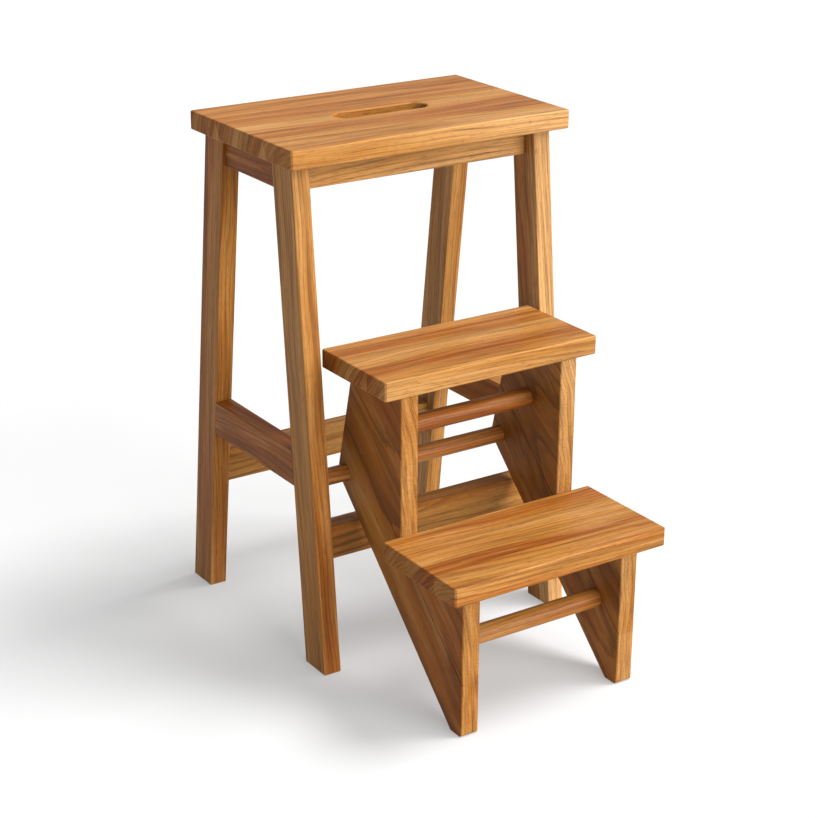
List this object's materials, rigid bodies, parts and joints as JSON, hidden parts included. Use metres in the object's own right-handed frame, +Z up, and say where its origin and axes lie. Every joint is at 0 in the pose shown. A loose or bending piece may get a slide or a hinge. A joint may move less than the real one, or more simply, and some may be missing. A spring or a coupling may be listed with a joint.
{
  "type": "folding step stool",
  "caption": "Wooden step stool with a hand slot in its seat; treads on slanting side panels swing out in front for climbing and tuck away under the seat on an axle in the front legs.",
  "frame": {"origin": "on the floor under the middle of the whole stool with its steps swung out: midway between the left and right ends of the seat, and midway between the front edge of the lower tread and the back of the rear feet", "axes": "+X to the right as seen by a person who climbs the steps, +Y from the steps to the back of the stool, +Z up"},
  "size_m": [0.368, 0.5344, 0.61],
  "materials": {
    "seat_wood": "oiled, satin",
    "tread_wood": "oiled, satin",
    "frame_wood": "oiled, satin",
    "panel_wood": "oiled, satin",
    "round_bar_wood": "oiled, satin",
    "tongue_wood": "bare",
    "screw_steel": "zinc plated"
  },
  "bodies": {
    "frame": {"seat": "seat_wood", "seat_screws": "screw_steel", "front_apron": "frame_wood", "rear_apron": "frame_wood", "left_apron": "frame_wood", "right_apron": "frame_wood", "front_left_leg": "frame_wood", "front_right_leg": "frame_wood", "rear_left_leg": "frame_wood", "rear_right_leg": "frame_wood", "left_side_rail": "frame_wood", "right_side_rail": "frame_wood", "rear_rail": "frame_wood", "low_front_rail": "frame_wood"},
    "steps": {"axle": "round_bar_wood", "upper_rung": "round_bar_wood", "lower_rung": "round_bar_wood", "upper_tread": "tread_wood", "lower_tread": "tread_wood", "tread_tongues": "tongue_wood", "left_stringer": "panel_wood", "right_stringer": "panel_wood", "left_upper_riser": "panel_wood", "right_upper_riser": "panel_wood", "left_lower_riser": "panel_wood", "right_lower_riser": "panel_wood"}
  },
  "joints": [
    {"name": "steps_fold", "type": "hinge", "parent": "frame", "child": "steps", "pos_m": [0, -0.01375, 0.229], "axis": [-1, 0, 0], "range_deg": [0, 167.9]}
  ]
}
